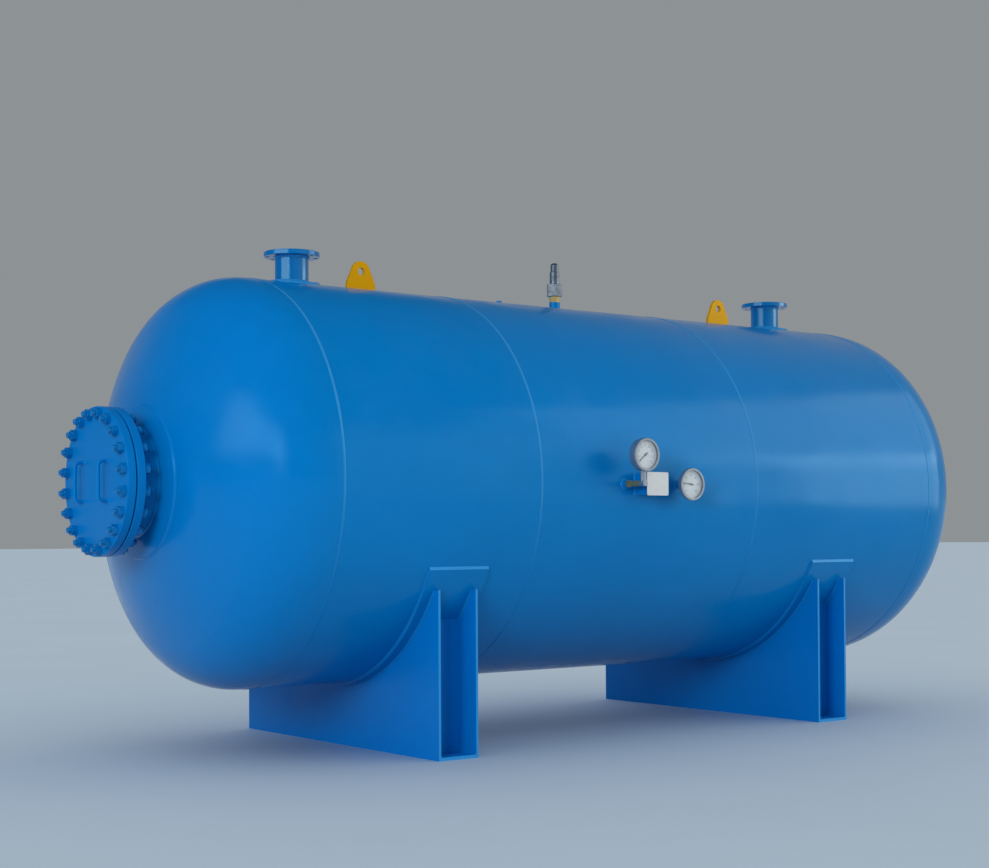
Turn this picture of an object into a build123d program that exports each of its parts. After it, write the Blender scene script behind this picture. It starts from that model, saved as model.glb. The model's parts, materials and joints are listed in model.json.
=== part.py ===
from build123d import *

import math
import os

# A horizontal pressure tank on two saddles, in millimetres. X runs along the tank, with the
# manway at its low end. The origin is on the floor, midway between the saddles.

# Shell: three welded courses between two dished ends
shell_bore = 1976
shell_wall = 12
manway_course_length = 1117
middle_course_length = 1469
rear_course_length = 1425
head_straight = 37
head_crown_share = 0.9
head_knuckle_share = 0.17
ground_clearance = 311

# Manway on the axis of the first head
manway_pipe = 508
manway_pipe_wall = 9.5
manway_standout = 144
manway_inside = 20
manway_face_width = 38.1
manway_bolt_gap = 9.5
manway_bolt_hole = 31.8
manway_bolt_count = 20
manway_rim_width = 15.85
manway_flange_thickness = 42.9
manway_cover_thickness = 42.9
manway_pad_width = 106
gasket_thickness = 3

# Lifting handles of the manway cover
handle_spacing = 260
handle_height = 182
handle_reach = 45
handle_bar = 16
handle_bend = 24

# Two flanged nozzles on the crown
nozzle_from_seam = 319
nozzle_pipe = 168.3
nozzle_pipe_wall = 7.1
nozzle_height = 163
nozzle_inside = 15
nozzle_face_width = 23.8
nozzle_bolt_gap = 1.5
nozzle_bolt_hole = 22.4
nozzle_bolt_count = 8
nozzle_rim_width = 7.85
nozzle_flange_thickness = 25.4
nozzle_pad_width = 53

# Details that the flanges and pads share. Outward from a pipe, a flange has its raised face,
# a gap, its bolt holes and its rim.
raised_face = 2
pipe_setback = 6
pad_thickness = 12
rim_chamfer = 2

# Lifting lugs on the crown, as far from one end seam as from the other
lug_from_seam = 726
lug_base = 171
lug_height = 157
lug_shoulder = 40
lug_nose = 54
lug_hole = 40
lug_thickness = 20
lug_edge = 2

# Saddles: a wear plate under the shell, two webs, ribs between them and a base plate
manway_end_saddle_from_seam = 683
rear_end_saddle_from_seam = 741
saddle_length = 1808
saddle_width = 228
saddle_plate = 12
saddle_contact_angle = 119
saddle_base_thickness = 16
wear_plate_width = 340
wear_plate_thickness = 12
wear_plate_overhang_angle = 6
rib_setback = 140
anchor_setback = 75
anchor_hole = 28

# Half couplings on the shell, each with the fitting that closes it. Fittings are placed from
# the middle of the shell, and those on its side sit a little below its axis.
side_drop = 6
valve_coupling_size = 61
valve_coupling_height = 43
valve_thread = 33
gauge_coupling_size = 43
gauge_coupling_height = 28
gauge_thread = 21
vent_coupling_size = 38
vent_coupling_height = 14
vent_thread = 19
vent_offset = -384
vent_hex = 27
vent_hex_height = 8
thread_depth = 18

# Safety valve close to the middle of the shell
valve_offset = 10
valve_inlet_hex = 54
valve_inlet_height = 33
valve_body_hex = 79
valve_body_height = 69
valve_bonnet_size = 54
valve_bonnet_height = 69
valve_cap_step = 5
valve_cap_height = 50
valve_cap_round = 14
valve_edge = 3

# Dials, alike on the pressure gauge and on the thermometer
dial_case_size = 160
gauge_case_depth = 42
thermometer_case_depth = 22
dial_case_wall = 3
dial_plate_thickness = 2
dial_recess = 10
bezel_wall = 3
bezel_lap = 14
bezel_lip = 9
bezel_front = 4
window_thickness = 3
pointer_length = 58
pointer_tail = 16
pointer_width = 7
pointer_tip = 2
pointer_thickness = 1.5
pointer_hub = 12
pointer_lift = 2

# Pressure gauge on a brass cock, up the side from its block
gauge_offset = -363
gauge_rise = 140
gauge_reach = 142
gauge_pointer_angle = 219
cock_hex = 32
cock_hex_length = 16
cock_barrel = 28
block_size = 30
stem_hex = 27

# Thermometer with a stem at its back
thermometer_offset = 0
thermometer_reach = 90
thermometer_stem_hex = 27
thermometer_pointer_angle = 172

# Nameplate on a channel bracket
nameplate_offset = -227
nameplate_reach = 96
nameplate_width = 144
nameplate_height = 117
nameplate_thickness = 3
nameplate_corner = 8
bracket_margin = 4
bracket_sheet = 5

# Places that follow from those sizes
shell_radius = shell_bore / 2 + shell_wall
axis_height = ground_clearance + shell_radius
shell_length = manway_course_length + middle_course_length + rear_course_length
saddle_reach = (shell_length - manway_end_saddle_from_seam - rear_end_saddle_from_seam) / 2
manway_seam = -saddle_reach - manway_end_saddle_from_seam
rear_seam = saddle_reach + rear_end_saddle_from_seam
shell_middle = (manway_seam + rear_seam) / 2
valve_place = shell_middle + valve_offset
vent_place = shell_middle + vent_offset
gauge_place = shell_middle + gauge_offset
thermometer_place = shell_middle + thermometer_offset
head_crown = head_crown_share * 2 * shell_radius
head_knuckle = head_knuckle_share * 2 * shell_radius
knuckle_centre = shell_bore / 2 - head_knuckle
crown_setback = math.sqrt((head_crown - head_knuckle) ** 2 - knuckle_centre**2)
knuckle_angle = math.degrees(math.atan2(crown_setback, knuckle_centre))
saddle_places = {"manway_end": -saddle_reach, "rear_end": saddle_reach}
lug_places = {
    "manway_end": manway_seam + lug_from_seam,
    "rear_end": rear_seam - lug_from_seam,
}
nozzle_places = {
    "inlet": manway_seam + nozzle_from_seam,
    "outlet": rear_seam - nozzle_from_seam,
}


def cross_section(x):
    """The plane across the tank at x, with its origin on the tank's axis."""
    return Plane(origin=(x, 0, axis_height), x_dir=(0, 1, 0), z_dir=(1, 0, 0))


def crown(x):
    """The plane that touches the top of the shell at x, facing up."""
    return Plane(origin=(x, 0, axis_height + shell_radius), x_dir=(1, 0, 0), z_dir=(0, 0, 1))


def side(x):
    """The plane that touches the side of the shell at x, level with its fittings, facing -Y."""
    level = axis_height - side_drop
    return Plane(origin=(x, -shell_radius, level), x_dir=(1, 0, 0), z_dir=(0, -1, 0))


def axial(at):
    """The plane that holds the normal of another: first across, then along that normal."""
    return Plane(origin=at.origin, x_dir=at.x_dir, z_dir=-at.y_dir)


def crown_height(radius, skin=0):
    """How far the crown of a head stands from its seam, at a radius from its axis."""
    return head_straight - crown_setback + math.sqrt((head_crown + skin) ** 2 - radius**2)


def curve_drop(radius):
    """How far the shell falls away from a plane that touches it, at a distance across."""
    return shell_radius - math.sqrt(shell_radius**2 - radius**2)


def turn(at, *outline, mode=Mode.ADD):
    """Turn an outline of (radius, height) points about the normal of a plane."""
    with BuildSketch(axial(at)) as half:
        with BuildLine():
            Polyline(*outline, close=True)
        make_face()
    revolve(half.sketch, axis=Axis(at.origin, at.z_dir), mode=mode)


def turn_ring(at, inner, outer, low, high, mode=Mode.ADD):
    """A ring or disc about the normal of a plane, between two radii and two heights."""
    turn(at, (inner, low), (outer, low), (outer, high), (inner, high), mode=mode)


def hex_prism(at, across_flats, low, high):
    """A hexagonal length about the normal of a plane, with its corners turned down."""
    corner = across_flats / math.sqrt(3)
    ease = corner - across_flats / 2
    with BuildSketch(at.offset(low)) as flats:
        RegularPolygon(radius=across_flats / 2, side_count=6, major_radius=False)
    extrude(flats.sketch, amount=high - low)
    with BuildPart(mode=Mode.PRIVATE) as envelope:
        turn(
            at,
            (0, low),
            (corner - ease, low),
            (corner, low + ease / 2),
            (corner, high - ease / 2),
            (corner - ease, high),
            (0, high),
        )
    add(envelope.part, mode=Mode.INTERSECT)


def drum(radius):
    """A solid drum on the tank's axis, as long as the shell, that seats are cut to."""
    with BuildPart() as solid:
        with BuildSketch(cross_section(manway_seam)) as disc:
            Circle(radius)
        extrude(disc.sketch, amount=shell_length)
    return solid.part


def keep(piece, name):
    """Name a finished piece and write it out."""
    piece.part.label = name
    export_step(piece.part, f"parts/{name}.step")


os.makedirs("parts", exist_ok=True)
shell_drum = drum(shell_radius)
pad_drum = drum(shell_radius + pad_thickness)
wear_drum = drum(shell_radius + wear_plate_thickness)

# Ways through the shell, under the nozzles and the couplings
cut_depth = shell_wall + nozzle_inside
fitting_bores = [
    (crown(valve_place), valve_thread / 2),
    (crown(vent_place), vent_thread / 2),
    (side(gauge_place), gauge_thread / 2),
    (side(thermometer_place), gauge_thread / 2),
]
shell_bores = fitting_bores + [(crown(x), nozzle_pipe / 2) for x in nozzle_places.values()]
with BuildPart() as ways_in:
    for at, radius in shell_bores:
        turn_ring(at, 0, radius, -cut_depth - curve_drop(radius), cut_depth)

# Shell courses
courses = {
    "shell_course_manway_end": (manway_seam, manway_course_length),
    "shell_course_middle": (manway_seam + manway_course_length, middle_course_length),
    "shell_course_rear_end": (rear_seam - rear_course_length, rear_course_length),
}
for name, (start, length) in courses.items():
    with BuildPart() as course:
        with BuildSketch(cross_section(start)):
            Circle(shell_radius)
            Circle(shell_bore / 2, mode=Mode.SUBTRACT)
        extrude(amount=length)
        add(ways_in.part, mode=Mode.SUBTRACT)
    keep(course, name)


def head_skin(skin):
    """A head's profile at a distance outside its inner face: a knuckle, then the crown."""
    CenterArc((knuckle_centre, head_straight), head_knuckle + skin, 0, knuckle_angle)
    CenterArc(
        (0, head_straight - crown_setback), head_crown + skin, knuckle_angle, 90 - knuckle_angle
    )


def dished_head(at):
    """A head that bulges along a plane's normal: a short straight, a knuckle and a crown."""
    bore = shell_bore / 2
    with BuildPart() as head:
        with BuildSketch(axial(at)) as half:
            with BuildLine():
                Line((bore, 0), (shell_radius, 0))
                Line((shell_radius, 0), (shell_radius, head_straight))
                head_skin(shell_wall)
                Line((0, crown_height(0, shell_wall)), (0, crown_height(0)))
                head_skin(0)
                Line((bore, head_straight), (bore, 0))
            make_face()
        revolve(half.sketch, axis=Axis(at.origin, at.z_dir))
    return head


# Heads: the first has a hole for the manway pipe
manway_axis = Plane(origin=(manway_seam, 0, axis_height), x_dir=(0, -1, 0), z_dir=(-1, 0, 0))
manway_radius = manway_pipe / 2
manway_pad_radius = manway_radius + manway_pad_width
manway_root = crown_height(manway_radius) - manway_inside
manway_joint = crown_height(0, shell_wall) + manway_standout
with BuildPart() as manway_head:
    add(dished_head(manway_axis).part)
    turn_ring(manway_axis, 0, manway_radius, manway_root, manway_joint, mode=Mode.SUBTRACT)
keep(manway_head, "manway_head")
keep(dished_head(cross_section(rear_seam)), "rear_head")

# Manway pipe, through the head and into its flange
with BuildPart() as manway_neck:
    turn_ring(
        manway_axis,
        manway_radius - manway_pipe_wall,
        manway_radius,
        manway_root,
        manway_joint - pipe_setback,
    )
keep(manway_neck, "manway_neck")

def crown_arc(inner, outer, skin):
    """The crown's profile between two radii, at a distance outside its inner face."""
    middle = (inner + outer) / 2
    return ThreePointArc(*[(radius, crown_height(radius, skin)) for radius in (inner, middle, outer)])


# Reinforcing pad: a collar of plate that lies on the crown round the pipe
with BuildPart() as manway_pad:
    with BuildSketch(axial(manway_axis)) as half:
        with BuildLine():
            seat = crown_arc(manway_radius, manway_pad_radius, shell_wall)
            top = crown_arc(manway_radius, manway_pad_radius, shell_wall + pad_thickness)
            Line(seat @ 0, top @ 0)
            Line(seat @ 1, top @ 1)
        make_face()
    revolve(half.sketch, axis=Axis(manway_axis.origin, manway_axis.z_dir))
keep(manway_pad, "manway_pad")


def rings(pipe, face_width, bolt_gap, hole, rim_width):
    """The radii of a flange's raised face, bolt circle and rim, outward from its pipe."""
    face_radius = pipe / 2 + face_width
    circle_radius = face_radius + bolt_gap + hole / 2
    return face_radius, circle_radius, circle_radius + hole / 2 + rim_width


def flange(at, face, back, bore_radius, radii, hole, count):
    """A flange or cover between its raised face and its back, drilled on its bolt circle."""
    face_radius, circle_radius, rim_radius = radii
    shoulder = face + math.copysign(raised_face, back - face)
    outline = [
        (bore_radius, back),
        (rim_radius, back),
        (rim_radius, shoulder),
        (face_radius, shoulder),
        (face_radius, face),
        (bore_radius, face),
    ]
    with BuildPart() as disc:
        turn(at, *outline)
        rims = disc.edges().filter_by(GeomType.CIRCLE).group_by(SortBy.RADIUS)[-1]
        chamfer(rims, rim_chamfer)
        with Locations(at.offset(face)):
            with PolarLocations(circle_radius, count, start_angle=180 / count):
                Hole(hole / 2)
    return disc


manway_rings = rings(
    manway_pipe, manway_face_width, manway_bolt_gap, manway_bolt_hole, manway_rim_width
)
cover_face = manway_joint + gasket_thickness
cover_front = cover_face + manway_cover_thickness
manway_plates = {
    "manway_flange": (manway_joint, manway_joint - manway_flange_thickness, manway_radius),
    "manway_cover": (cover_face, cover_front, 0),
}
for name, (face, back, bore_radius) in manway_plates.items():
    plate = flange(
        manway_axis, face, back, bore_radius, manway_rings, manway_bolt_hole, manway_bolt_count
    )
    keep(plate, name)
with BuildPart() as manway_gasket:
    turn_ring(manway_axis, manway_radius, manway_rings[0], manway_joint, cover_face)
keep(manway_gasket, "manway_gasket")

# Handles: two round bars bent to a U and welded upright on the cover
with BuildPart() as manway_handles:
    for across in (-handle_spacing / 2, handle_spacing / 2):
        foot = manway_axis.offset(cover_front).origin + Vector(0, across, 0)
        bend_plane = Plane(origin=foot, x_dir=(0, 0, 1), z_dir=(0, -1, 0))
        with BuildLine(bend_plane) as route:
            FilletPolyline(
                (-handle_height / 2, 0),
                (-handle_height / 2, handle_reach),
                (handle_height / 2, handle_reach),
                (handle_height / 2, 0),
                radius=handle_bend,
            )
        with BuildSketch(Plane(origin=route.line @ 0, z_dir=route.line % 0)) as bar:
            Circle(handle_bar / 2)
        sweep(bar.sketch, path=route.line)
keep(manway_handles, "manway_handles")

# Nozzles: each a pipe through the shell, a reinforcing pad and a flange
nozzle_radius = nozzle_pipe / 2
nozzle_rings = rings(
    nozzle_pipe, nozzle_face_width, nozzle_bolt_gap, nozzle_bolt_hole, nozzle_rim_width
)
nozzle_pad_radius = nozzle_radius + nozzle_pad_width
for name, x in nozzle_places.items():
    with BuildPart() as neck:
        turn_ring(
            crown(x),
            nozzle_radius - nozzle_pipe_wall,
            nozzle_radius,
            -shell_wall - nozzle_inside,
            nozzle_height - pipe_setback,
        )
    keep(neck, f"{name}_neck")
    with BuildPart() as pad:
        pad_root = curve_drop(nozzle_pad_radius)
        turn_ring(crown(x), nozzle_radius, nozzle_pad_radius, -pad_root, pad_thickness)
        add(pad_drum, mode=Mode.INTERSECT)
        add(shell_drum, mode=Mode.SUBTRACT)
    keep(pad, f"{name}_pad")
    nozzle_flange = flange(
        crown(x),
        nozzle_height,
        nozzle_height - nozzle_flange_thickness,
        nozzle_radius,
        nozzle_rings,
        nozzle_bolt_hole,
        nozzle_bolt_count,
    )
    keep(nozzle_flange, f"{name}_flange")

# Lifting lugs: a nose and a shouldered foot, joined by straight sides
for name, x in lug_places.items():
    with BuildPart() as lug:
        with BuildSketch(axial(crown(x))):
            with Locations((0, lug_height - lug_nose)):
                Circle(lug_nose)
            with Locations((0, -lug_thickness)):
                Rectangle(lug_base, lug_thickness + lug_shoulder, align=(Align.CENTER, Align.MIN))
            make_hull()
        extrude(amount=lug_thickness / 2, both=True)
        chamfer(lug.faces().filter_by(Axis.Y).edges(), lug_edge)
        with BuildSketch(axial(crown(x))):
            with Locations((0, lug_height - lug_nose)):
                Circle(lug_hole / 2)
        extrude(amount=lug_thickness, both=True, mode=Mode.SUBTRACT)
        add(shell_drum, mode=Mode.SUBTRACT)
    keep(lug, f"{name}_lifting_lug")

# Half couplings, cut to the curve of the shell
couplings = [
    (crown(valve_place), valve_coupling_size, valve_thread, valve_coupling_height),
    (crown(vent_place), vent_coupling_size, vent_thread, vent_coupling_height),
    (side(gauge_place), gauge_coupling_size, gauge_thread, gauge_coupling_height),
    (side(thermometer_place), gauge_coupling_size, gauge_thread, gauge_coupling_height),
]
with BuildPart() as half_couplings:
    for at, size, thread, height in couplings:
        turn_ring(at, thread / 2, size / 2, -curve_drop(side_drop + size / 2), height)
    add(shell_drum, mode=Mode.SUBTRACT)
keep(half_couplings, "half_couplings")

# Vent plug
with BuildPart() as vent_plug:
    vent_at = crown(vent_place)
    hex_prism(vent_at, vent_hex, vent_coupling_height, vent_coupling_height + vent_hex_height)
    turn_ring(vent_at, 0, vent_thread / 2, 0, vent_coupling_height)
keep(vent_plug, "vent_plug")

# Safety valve: a brass inlet, a hexagonal body and a capped bonnet
valve_at = crown(valve_place)
body_low = valve_coupling_height + valve_inlet_height
body_high = body_low + valve_body_height
bonnet_high = body_high + valve_bonnet_height
cap_high = bonnet_high + valve_cap_height
with BuildPart() as valve_inlet:
    hex_prism(valve_at, valve_inlet_hex, valve_coupling_height, body_low)
    turn_ring(
        valve_at, 0, valve_thread / 2, valve_coupling_height - thread_depth, valve_coupling_height
    )
keep(valve_inlet, "safety_valve_inlet")

with BuildPart() as valve_body:
    hex_prism(valve_at, valve_body_hex, body_low, body_high)
keep(valve_body, "safety_valve_body")

with BuildPart() as valve_bonnet:
    turn_ring(valve_at, 0, valve_bonnet_size / 2, body_high, bonnet_high)
    turn_ring(valve_at, 0, valve_bonnet_size / 2 - valve_cap_step, bonnet_high, cap_high)
    tops = valve_bonnet.edges().filter_by(GeomType.CIRCLE).group_by(Axis.Z)
    fillet(tops[-1], valve_cap_round)
    chamfer(tops[-2].sort_by(SortBy.RADIUS)[-1], valve_edge)
keep(valve_bonnet, "safety_valve_bonnet")


def dial_case(at, depth):
    """A round cup, open to the front, that holds a dial."""
    outer = dial_case_size / 2
    with BuildPart() as case:
        turn_ring(at, 0, outer, 0, depth)
        turn_ring(at, 0, outer - dial_case_wall, dial_case_wall, depth, mode=Mode.SUBTRACT)
    return case


# Pressure gauge and thermometer, each seen along its own plane
gauge_seat = (gauge_case_depth - bezel_lap) / 2
bezel_radius = dial_case_size / 2 + bezel_wall
gauge_case_at = Plane(
    origin=side(gauge_place).origin + Vector(0, gauge_seat - gauge_reach, gauge_rise),
    x_dir=(1, 0, 0),
    z_dir=(0, -1, 0),
)
thermometer_case_at = side(thermometer_place).offset(thermometer_reach)
dials = {
    "pressure_gauge": (gauge_case_at, gauge_case_depth, gauge_pointer_angle),
    "thermometer": (thermometer_case_at, thermometer_case_depth, thermometer_pointer_angle),
}
case_inside = dial_case_size / 2 - dial_case_wall
for name, (at, depth, pointer_angle) in dials.items():
    keep(dial_case(at, depth), f"{name}_case")
    dial_front = depth - window_thickness - dial_recess
    with BuildPart() as dial:
        turn_ring(at, 0, case_inside, dial_front - dial_plate_thickness, dial_front)
    keep(dial, f"{name}_dial")
    with BuildPart() as bezel:
        front = depth + bezel_front
        turn(
            at,
            (dial_case_size / 2, depth - bezel_lap),
            (bezel_radius, depth - bezel_lap),
            (bezel_radius, front - bezel_wall),
            (bezel_radius - bezel_wall, front),
            (dial_case_size / 2 - bezel_lip, front),
            (dial_case_size / 2 - bezel_lip, depth),
            (dial_case_size / 2, depth),
        )
    keep(bezel, f"{name}_bezel")

with BuildPart() as dial_windows:
    for at, depth, pointer_angle in dials.values():
        turn_ring(at, 0, case_inside, depth - window_thickness, depth)
keep(dial_windows, "dial_windows")

with BuildPart() as dial_pointers:
    for at, depth, pointer_angle in dials.values():
        hub_at = at.offset(depth - window_thickness - dial_recess)
        turn_ring(hub_at, 0, pointer_hub / 2, 0, pointer_lift + pointer_thickness)
        aim = math.radians(pointer_angle)
        along = at.x_dir * math.cos(aim) + at.y_dir * math.sin(aim)
        needle_at = Plane(hub_at.offset(pointer_lift).origin, x_dir=along, z_dir=at.z_dir)
        with BuildSketch(needle_at) as needle:
            with BuildLine():
                Polyline(
                    (-pointer_tail, -pointer_width / 2),
                    (0, -pointer_width / 2),
                    (pointer_length, -pointer_tip / 2),
                    (pointer_length, pointer_tip / 2),
                    (0, pointer_width / 2),
                    (-pointer_tail, pointer_width / 2),
                    close=True,
                )
            make_face()
        extrude(needle.sketch, amount=pointer_thickness)
keep(dial_pointers, "dial_pointers")

# Brass cock of the gauge: a hexagon, then a barrel up to the block
cock_at = side(gauge_place)
block_start = gauge_reach - block_size / 2
with BuildPart() as gauge_cock:
    hex_prism(cock_at, cock_hex, gauge_coupling_height, gauge_coupling_height + cock_hex_length)
    turn_ring(cock_at, 0, cock_barrel / 2, gauge_coupling_height + cock_hex_length, block_start)
    turn_ring(
        cock_at, 0, gauge_thread / 2, gauge_coupling_height - thread_depth, gauge_coupling_height
    )
keep(gauge_cock, "gauge_cock")

# Gauge stem: a block on the end of the cock, then a hexagon up to the case
with BuildPart() as gauge_stem:
    turn_ring(cock_at, 0, block_size / 2, block_start, block_start + block_size)
    stem_at = Plane(origin=cock_at.offset(gauge_reach).origin, x_dir=(1, 0, 0), z_dir=(0, 0, 1))
    with BuildSketch(stem_at) as hexagon:
        RegularPolygon(radius=stem_hex / 2, side_count=6, major_radius=False)
    extrude(hexagon.sketch, amount=gauge_rise)
    case_shape = (dial_case_size / 2, 0), (bezel_radius, gauge_case_depth - bezel_lap)
    for radius, back in case_shape:
        turn_ring(gauge_case_at, 0, radius, back, gauge_case_depth, mode=Mode.SUBTRACT)
keep(gauge_stem, "gauge_stem")

# Thermometer stem, from its coupling to the back of its case
with BuildPart() as thermometer_stem:
    stem_at = side(thermometer_place)
    hex_prism(stem_at, thermometer_stem_hex, gauge_coupling_height, thermometer_reach)
    turn_ring(
        stem_at, 0, gauge_thread / 2, gauge_coupling_height - thread_depth, gauge_coupling_height
    )
keep(thermometer_stem, "thermometer_stem")

# Nameplate bracket: a channel welded to the shell, and the plate on its front
plate_at = side(shell_middle + nameplate_offset).offset(nameplate_reach)
bracket_width = nameplate_width - 2 * bracket_margin
bracket_height = nameplate_height - 2 * bracket_margin
bracket_root = nameplate_reach + curve_drop(side_drop + bracket_height / 2)
with BuildPart() as nameplate_bracket:
    with BuildSketch(plate_at):
        Rectangle(bracket_width, bracket_height)
    extrude(amount=-bracket_root)
    with BuildSketch(plate_at.offset(-bracket_sheet)):
        Rectangle(bracket_width - 2 * bracket_sheet, bracket_height)
    extrude(amount=-bracket_root, mode=Mode.SUBTRACT)
    add(shell_drum, mode=Mode.SUBTRACT)
keep(nameplate_bracket, "nameplate_bracket")

with BuildPart() as nameplate:
    with BuildSketch(plate_at):
        RectangleRounded(nameplate_width, nameplate_height, nameplate_corner)
    extrude(amount=nameplate_thickness)
keep(nameplate, "nameplate")

# Saddles: the contact angle gives the height of their horns, which are cut off square
wear_radius = shell_radius + wear_plate_thickness
half_angle = saddle_contact_angle / 2
horn_drop = wear_radius * math.cos(math.radians(half_angle))
wear_half_angle = half_angle + wear_plate_overhang_angle
straight_down = 270
anchor_reach = saddle_length / 2 - anchor_setback
rib_reach = saddle_length / 2 - rib_setback

for name, x in saddle_places.items():
    with BuildPart() as wear_plate:
        with BuildSketch(cross_section(x)):
            with BuildLine():
                start = straight_down - wear_half_angle
                inner = CenterArc((0, 0), shell_radius, start, 2 * wear_half_angle)
                outer = CenterArc((0, 0), wear_radius, start, 2 * wear_half_angle)
                Line(inner @ 0, outer @ 0)
                Line(inner @ 1, outer @ 1)
            make_face()
        extrude(amount=wear_plate_width / 2, both=True)
    keep(wear_plate, f"{name}_saddle_wear_plate")

    with BuildPart() as webs:
        for web_start in (x - saddle_width / 2, x + saddle_width / 2 - saddle_plate):
            with BuildSketch(cross_section(web_start)) as web:
                with Locations((0, saddle_base_thickness - axis_height)):
                    Rectangle(
                        saddle_length,
                        axis_height - horn_drop - saddle_base_thickness,
                        align=(Align.CENTER, Align.MIN),
                    )
                Circle(wear_radius, mode=Mode.SUBTRACT)
            extrude(web.sketch, amount=saddle_plate)
    keep(webs, f"{name}_saddle_webs")

    with BuildPart() as ribs:
        with BuildSketch(Plane.XY.offset(saddle_base_thickness)):
            with Locations((x, -rib_reach), (x, 0), (x, rib_reach)):
                Rectangle(saddle_width - 2 * saddle_plate, saddle_plate)
        extrude(amount=axis_height - saddle_base_thickness)
        add(wear_drum, mode=Mode.SUBTRACT)
    keep(ribs, f"{name}_saddle_ribs")

    with BuildPart() as base:
        with BuildSketch():
            with Locations((x, 0)):
                Rectangle(saddle_width, saddle_length)
        extrude(amount=saddle_base_thickness)
        with Locations((x, -anchor_reach), (x, anchor_reach)):
            Hole(anchor_hole / 2)
    keep(base, f"{name}_saddle_base_plate")

# Where the tank fastens to other things
print("anchor holes", 2 * saddle_reach, "by", 2 * anchor_reach)
print("seams at x", manway_seam, rear_seam, "lugs at x", lug_places)
print("manway cover between x", manway_seam - cover_face, "and", manway_seam - cover_front)
print("nozzle faces at x", nozzle_places, "z", axis_height + shell_radius + nozzle_height)
print("lug holes at z", axis_height + shell_radius + lug_height - lug_nose)
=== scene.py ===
"""Finish of a horizontal pressure tank: paint, welds, fasteners, dials and a plain studio.

Lengths are in metres. X runs along the tank, with the manway at its low end, and the dials face -Y.
"""

import json
import math

import bmesh
import bpy
from mathutils import Euler, Matrix, Vector, noise


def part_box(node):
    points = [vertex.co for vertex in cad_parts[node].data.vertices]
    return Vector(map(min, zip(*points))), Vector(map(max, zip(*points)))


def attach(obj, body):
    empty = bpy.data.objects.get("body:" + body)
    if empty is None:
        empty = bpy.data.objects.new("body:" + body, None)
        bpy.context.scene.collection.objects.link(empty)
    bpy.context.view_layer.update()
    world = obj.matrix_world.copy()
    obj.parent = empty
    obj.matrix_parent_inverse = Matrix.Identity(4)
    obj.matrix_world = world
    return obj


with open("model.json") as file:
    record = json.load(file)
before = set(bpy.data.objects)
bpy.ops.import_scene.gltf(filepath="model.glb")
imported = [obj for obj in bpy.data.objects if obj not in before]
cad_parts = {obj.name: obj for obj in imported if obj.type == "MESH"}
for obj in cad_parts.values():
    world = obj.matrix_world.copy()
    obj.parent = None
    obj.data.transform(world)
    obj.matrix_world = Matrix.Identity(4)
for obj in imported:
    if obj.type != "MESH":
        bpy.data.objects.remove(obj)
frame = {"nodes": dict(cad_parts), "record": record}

bl_info = {
    "name": "Horizontal pressure tank finish",
    "version": (1, 0, 0),
    "blender": (4, 5, 0),
    "location": "3D View > Sidebar > Tank",
    "description": "Paints a pressure tank and adds its welds, fasteners, dial marks and studio",
    "category": "Object",
}

FULL_TURN = 2 * math.pi
ALONG = Vector((1, 0, 0))
SIDEWAYS = Vector((0, 1, 0))
UP = Vector((0, 0, 1))
ENDS = ("manway_end", "rear_end")

# Places that the frame gives
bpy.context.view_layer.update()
MIDDLE_LOW, MIDDLE_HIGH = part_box("shell_course_middle")
FIRST_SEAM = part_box("shell_course_manway_end")[0].x
LAST_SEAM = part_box("shell_course_rear_end")[1].x
SHELL_RADIUS = (MIDDLE_HIGH.y - MIDDLE_LOW.y) / 2
AXIS_HEIGHT = (MIDDLE_HIGH.z + MIDDLE_LOW.z) / 2
CROWN_HEIGHT = AXIS_HEIGHT + SHELL_RADIUS

# Radius of the crown of a 2:1 head, as a share of the tank's diameter
HEAD_CROWN_SHARE = 0.9
HEAD_CROWN_RADIUS = HEAD_CROWN_SHARE * 2 * SHELL_RADIUS

# Points of a mesh that lie nearer than this are one point
MERGE_DISTANCE = 1e-6


# Mesh helpers


def closed_loop(bm, points):
    """A closed loop of edges through a few points."""
    verts = [bm.verts.new(point) for point in points]
    edges = [bm.edges.new((verts[i - 1], verts[i])) for i in range(len(verts))]
    return verts, edges


def finish_mesh(name, bm, material, smooth_angle=35):
    """Turn a bmesh into a closed piece of the tank, with its normals outward."""
    bmesh.ops.remove_doubles(bm, verts=bm.verts, dist=MERGE_DISTANCE)
    bmesh.ops.recalc_face_normals(bm, faces=bm.faces)
    open_edges = [edge for edge in bm.edges if not edge.is_manifold]
    if open_edges:
        raise RuntimeError(f"{name} has {len(open_edges)} open edges")
    mesh = bpy.data.meshes.new(name)
    bm.to_mesh(mesh)
    bm.free()
    mesh.shade_smooth()
    mesh.set_sharp_from_angle(angle=math.radians(smooth_angle))
    piece = bpy.data.objects.new(name, mesh)
    bpy.context.scene.collection.objects.link(piece)
    mesh.materials.append(material)
    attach(piece, "root")
    return piece


def join(target, bm):
    """Add one bmesh to another and free it."""
    mesh = bpy.data.meshes.new("part")
    bm.to_mesh(mesh)
    bm.free()
    target.from_mesh(mesh)
    bpy.data.meshes.remove(mesh)


def turned(bm, outline, origin, axis, across, steps):
    """Spin an outline of (radius, height) points, with both ends on the axis, into a solid."""
    verts = [bm.verts.new(origin + across * radius + axis * height) for radius, height in outline]
    edges = [bm.edges.new((verts[i], verts[i + 1])) for i in range(len(verts) - 1)]
    bmesh.ops.spin(
        bm, geom=verts + edges, cent=origin, axis=axis, angle=FULL_TURN, steps=steps, use_merge=True
    )
    bmesh.ops.remove_doubles(bm, verts=bm.verts, dist=MERGE_DISTANCE)


# Weld beads

# How much larger the bead along a wear plate's upper edge is than the saddle's other beads
TOP_BEAD_FACTOR = 1.4

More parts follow.
